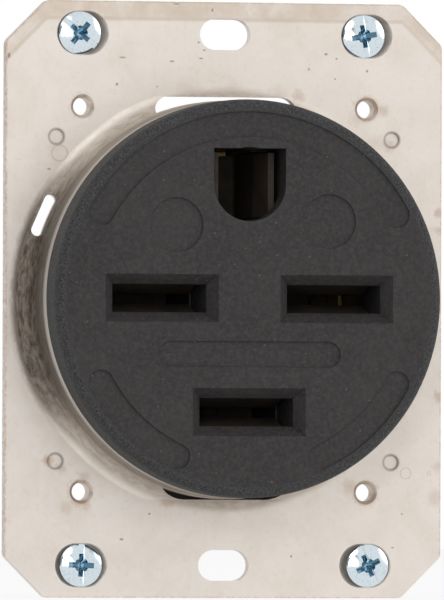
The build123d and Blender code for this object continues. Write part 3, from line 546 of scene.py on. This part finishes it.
def threadTree(material):
    # a sheet of rows and columns, bent into a threaded rod along +Y that closes at both ends
    tree = bpy.data.node_groups.new("rolledThread", "GeometryNodeTree")
    inputs = {name: addInput(tree, name, kind, value) for name, kind, value in (
        ("Length", "Float", 0.017), ("Crest Radius", "Float", 0.0017), ("Root Radius", "Float", 0.0014),
        ("Pitch", "Float", 0.0008), ("Tip Length", "Float", 0.001), ("Rows", "Int", 180),
        ("Columns", "Int", 29), ("Place", "Vector", None))}
    tree.interface.new_socket(name="Geometry", in_out="OUTPUT", socket_type="NodeSocketGeometry")
    source = addNode(tree, "NodeGroupInput").outputs
    grid = addNode(tree, "GeometryNodeMeshGrid", {
        "Size X": 1.0, "Size Y": 1.0, "Vertices X": source["Columns"], "Vertices Y": source["Rows"]})
    position = addNode(tree, "GeometryNodeInputPosition").outputs[0]
    x, y, _ = addNode(tree, "ShaderNodeSeparateXYZ", {0: position}).outputs
    turn = calc(tree, "ADD", x, 0.5)
    along = calc(tree, "MULTIPLY", calc(tree, "ADD", y, 0.5), source["Length"])
    phase = calc(tree, "FRACT", calc(tree, "ADD", calc(tree, "DIVIDE", along, source["Pitch"]), turn))
    ridge = calc(tree, "SUBTRACT", 1.0, calc(tree, "ABSOLUTE", calc(tree, "MULTIPLY_ADD", phase, 2.0, -1.0)))
    ridge = calc(tree, "MINIMUM", calc(tree, "MULTIPLY", ridge, 1.2), 1.0)  # flattens the crests
    left = calc(tree, "SUBTRACT", source["Length"], along)
    fadeLength = calc(tree, "MULTIPLY", source["Tip Length"], 1.6)
    fade = calc(tree, "MINIMUM", calc(tree, "DIVIDE", left, fadeLength), 1.0)
    rise = calc(tree, "SUBTRACT", source["Crest Radius"], source["Root Radius"])
    radius = calc(tree, "MULTIPLY_ADD", calc(tree, "MULTIPLY", rise, ridge), fade, source["Root Radius"])
    taper = calc(tree, "MULTIPLY_ADD", calc(tree, "DIVIDE", left, source["Tip Length"]), 0.5, 0.5)
    tip = calc(tree, "MINIMUM", taper, 1.0)
    # the first and the last row close on the axis
    inside = calc(tree, "GREATER_THAN", calc(tree, "MINIMUM", left, along), 1e-7)
    radius = calc(tree, "MULTIPLY", calc(tree, "MULTIPLY", radius, tip), inside)
    angle = calc(tree, "MULTIPLY", turn, 2 * math.pi)
    bent = addNode(tree, "ShaderNodeCombineXYZ", {
        0: calc(tree, "MULTIPLY", calc(tree, "COSINE", angle), radius),
        1: along,
        2: calc(tree, "MULTIPLY", calc(tree, "SINE", angle), radius)}).outputs[0]
    placed = vectorCalc(tree, "ADD", bent, source["Place"])
    moved = addNode(tree, "GeometryNodeSetPosition", {"Geometry": grid.outputs["Mesh"], "Position": placed})
    merged = addNode(tree, "GeometryNodeMergeByDistance", {"Geometry": moved.outputs[0], "Distance": 1e-7})
    real = addNode(tree, "GeometryNodeRealizeInstances", {"Geometry": merged.outputs[0]})
    dressed = addNode(tree, "GeometryNodeSetMaterial", {"Geometry": real.outputs[0], "Material": material})
    addNode(tree, "NodeGroupOutput", {"Geometry": dressed.outputs[0]})
    return tree, inputs


def bakeTree(name, tree, identifiers, values):
    # runs a tree on an empty mesh and returns the plain mesh that it makes
    carrier = bpy.data.objects.new(name, bpy.data.meshes.new(name))
    bpy.context.scene.collection.objects.link(carrier)
    modifier = carrier.modifiers.new("build", "NODES")
    modifier.node_group = tree
    for key, value in values.items():
        modifier[identifiers[key]] = value
    evaluated = carrier.evaluated_get(bpy.context.evaluated_depsgraph_get())
    mesh = bpy.data.meshes.new_from_object(evaluated)
    bpy.data.objects.remove(carrier)
    mesh.name = name
    return mesh


def newPiece(name, mesh, node, slot, sharp):
    # a finished piece in the place of a CAD node
    mesh.materials.clear()
    mesh.materials.append(finishes[slot])
    mesh.polygons.foreach_set("use_smooth", [True] * len(mesh.polygons))
    mesh.set_sharp_from_angle(angle=math.radians(sharp))
    piece = bpy.data.objects.new(name, mesh)
    bpy.context.scene.collection.objects.link(piece)
    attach(piece, "root")
    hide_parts(node)


def meshFrom(name, build):
    mesh = bpy.data.meshes.new(name)
    work = bmesh.new()
    build(work)
    bmesh.ops.recalc_face_normals(work, faces=work.faces)
    work.to_mesh(mesh)
    work.free()
    return mesh


def turned(work, profile, steps, place):
    # a closed turned shape from (radius, height) pairs that start and end on the axis
    angles = [2 * math.pi * i / steps for i in range(steps)]
    rings = []
    for radius, height in profile:
        if radius == 0:
            rings.append([work.verts.new(place(0, height, 0))])
        else:
            rings.append([work.verts.new(place(radius * math.cos(angle), height, radius * math.sin(angle)))
                          for angle in angles])
    for low, high in zip(rings, rings[1:]):
        for i in range(steps):
            j = (i + 1) % steps
            corners = [low[i % len(low)], low[j % len(low)], high[j % len(high)], high[i % len(high)]]
            work.faces.new(list(dict.fromkeys(corners)))


def stacked(work, outlines, apex=None):
    # a closed solid through outlines of the same count, with an apex or a flat end
    loops = [[work.verts.new(point) for point in outline] for outline in outlines]
    work.faces.new(loops[0])
    for low, high in zip(loops, loops[1:]):
        for i in range(len(low)):
            j = (i + 1) % len(low)
            work.faces.new((low[i], low[j], high[j], high[i]))
    if apex is None:
        work.faces.new(loops[-1])
    else:
        tip = work.verts.new(apex)
        for i in range(len(loops[-1])):
            work.faces.new((loops[-1][i], loops[-1][(i + 1) % len(loops[-1])], tip))


def headProfile(size, headRadius, crown):
    rim = crown - size["domeHeight"]
    domeRadius = (headRadius**2 + size["domeHeight"]**2) / (2 * size["domeHeight"])
    slope = math.asin(headRadius / domeRadius)
    profile = []
    for i in range(size["domeSteps"] + 1):
        lean = slope * i / size["domeSteps"] * (1 - size["rimRound"] / headRadius)
        profile.append((domeRadius * math.sin(lean), crown - domeRadius * (1 - math.cos(lean))))
    foot, bottom = size["coneFoot"], size["neckEnd"] - size["neckOverlap"]
    under = headRadius - (rim - foot) * math.tan(math.radians(size["coneSlope"]))
    profile += [
        (headRadius, rim - size["rimRound"] * 0.3),
        (headRadius - size["rimRound"] * 0.5, rim - size["rimRound"]),
        (under, foot),
        (size["neckRadius"], foot),
        (size["neckRadius"], bottom),
        (0, bottom),
    ]
    return profile


def recessOutline(size, share, coreShare):
    # four wings joined by blunt corners: share draws the wings in, coreShare the core
    half, reach = size["wingHalf"] * (0.55 + 0.45 * share), size["wingReach"] * share
    root, corner = size["coreReach"] * coreShare, size["coreCorner"] * coreShare
    points = []
    for quarter in range(4):
        cosine, sine = math.cos(math.pi / 2 * quarter), math.sin(math.pi / 2 * quarter)
        for x, z in ((reach, -half), (reach, half), (root, half), (corner, corner), (half, root)):
            points.append((x * cosine - z * sine, x * sine + z * cosine))
    return points


def makeBoxScrew(name, tree, identifiers):
    size = boxScrew
    low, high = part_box("box_screw_" + name)
    centreX, centreZ = (low.x + high.x) / 2 / mm, (low.z + high.z) / 2 / mm
    headRadius, tip = (high.z - low.z) / 2 / mm, high.y / mm
    crown = -low.y / mm - size["solidDome"] + size["domeHeight"]
    turn = Matrix.Rotation(math.radians(-screwTurns[name]), 4, "Y")

    def place(x, height, z):
        return Vector((x + centreX, -height, z + centreZ)) * mm

    def turnedPlace(x, height, z):
        spun = turn @ Vector((x, 0, z))
        return place(spun.x, height, spun.z)

    def cutRecess(work):
        outlines = [[turnedPlace(x, crown + rise, z) for x, z in recessOutline(size, share, coreShare)]
                    for rise, share, coreShare in size["recessStages"]]
        deepest = crown + size["recessStages"][-1][0]
        stacked(work, outlines, turnedPlace(0, deepest - size["recessTip"], 0))

    def cutSlot(work):
        half, reach, floor = size["slotWidth"] / 2, headRadius * 1.5, crown - size["slotDepth"]
        corners = [(-reach, -half), (reach, -half), (reach, half), (-reach, half)]
        stacked(work, [[turnedPlace(x, height, z) for x, z in corners] for height in (crown + 1.0, floor)])

    head = bpy.data.objects.new("head", meshFrom("head", lambda work: turned(
        work, headProfile(size, headRadius, crown), size["ringSteps"], place)))
    cutters = [bpy.data.objects.new("cutter", meshFrom("cutter", build)) for build in (cutSlot, cutRecess)]
    for made, finish in ((head, "zinc_screw"), (cutters[0], "zinc_screw"), (cutters[1], "plate_steel")):
        made.data.materials.append(finishes[finish])
        bpy.context.scene.collection.objects.link(made)
    for cutter in cutters:
        modifier = head.modifiers.new("cut", "BOOLEAN")
        modifier.operation, modifier.solver, modifier.object = "DIFFERENCE", "EXACT", cutter
        modifier.material_mode = "TRANSFER"
    bpy.context.view_layer.update()
    cutHead = bpy.data.meshes.new_from_object(head.evaluated_get(bpy.context.evaluated_depsgraph_get()))
    thread = bakeTree("thread", tree, identifiers, {
        "Length": (tip + size["neckEnd"]) * mm,
        "Crest Radius": size["crestRadius"] * mm,
        "Root Radius": size["rootRadius"] * mm,
        "Pitch": size["pitch"] * mm,
        "Tip Length": size["tipLength"] * mm,
        "Place": tuple(place(0, size["neckEnd"], 0)),
    })
    thread.polygons.foreach_set("material_index", [0] * len(thread.polygons))  # no thread face is a recess

    def join(work):
        work.from_mesh(cutHead)
        work.from_mesh(thread)

    mesh = meshFrom("boxScrew_" + name, join)
    # the faces that the recess cutter left carry its material, which marks them for the painted shade of the
    # recess
    recessShade = mesh.attributes.new("recessShade", "FLOAT", "FACE")
    recessShade.data.foreach_set("value", [float(face.material_index == 1) for face in mesh.polygons])
    mesh.polygons.foreach_set("material_index", [0] * len(mesh.polygons))
    for made in (head, *cutters):
        bpy.data.objects.remove(made)
    newPiece("boxScrew_" + name, mesh, "box_screw_" + name, "zinc_screw", size["sharpFrom"])


rodTree, rodInputs = threadTree(finishes["zinc_screw"])
for screwName in screwTurns:
    makeBoxScrew(screwName, rodTree, rodInputs)
print("box screws made:", len(screwTurns))


# Floor: pale and wide, lit so that it meets the white room
floorLook = {"size": 4000.0, "colour": (0.86, 0.86, 0.86), "glow": 0.88}


def layFloor():
    material = bpy.data.materials.new("paleFloor")
    material.use_nodes = True
    tree = material.node_tree
    tree.nodes.clear()
    matt = addNode(tree, "ShaderNodeBsdfDiffuse", {"Color": (*floorLook["colour"], 1)})
    glow = addNode(tree, "ShaderNodeEmission", {"Color": (1, 1, 1, 1), "Strength": 1.0})
    path = addNode(tree, "ShaderNodeLightPath")
    looked = calc(tree, "MAXIMUM", path.outputs["Is Camera Ray"], path.outputs["Is Glossy Ray"])
    seen = calc(tree, "MULTIPLY", looked, floorLook["glow"])
    mixed = addNode(tree, "ShaderNodeMixShader", {0: seen, 1: matt.outputs[0], 2: glow.outputs[0]})
    addNode(tree, "ShaderNodeOutputMaterial", {"Surface": mixed.outputs[0]})
    half, level = floorLook["size"] / 2 * mm, cadBox[0].z
    mesh = bpy.data.meshes.new("floor")
    corners = [(-half, -half, level), (half, -half, level), (half, half, level), (-half, half, level)]
    mesh.from_pydata(corners, [], [(0, 1, 2, 3)])
    mesh.materials.append(material)
    floor = bpy.data.objects.new("floor", mesh)
    bpy.context.scene.collection.objects.link(floor)


layFloor()
print("floor laid")
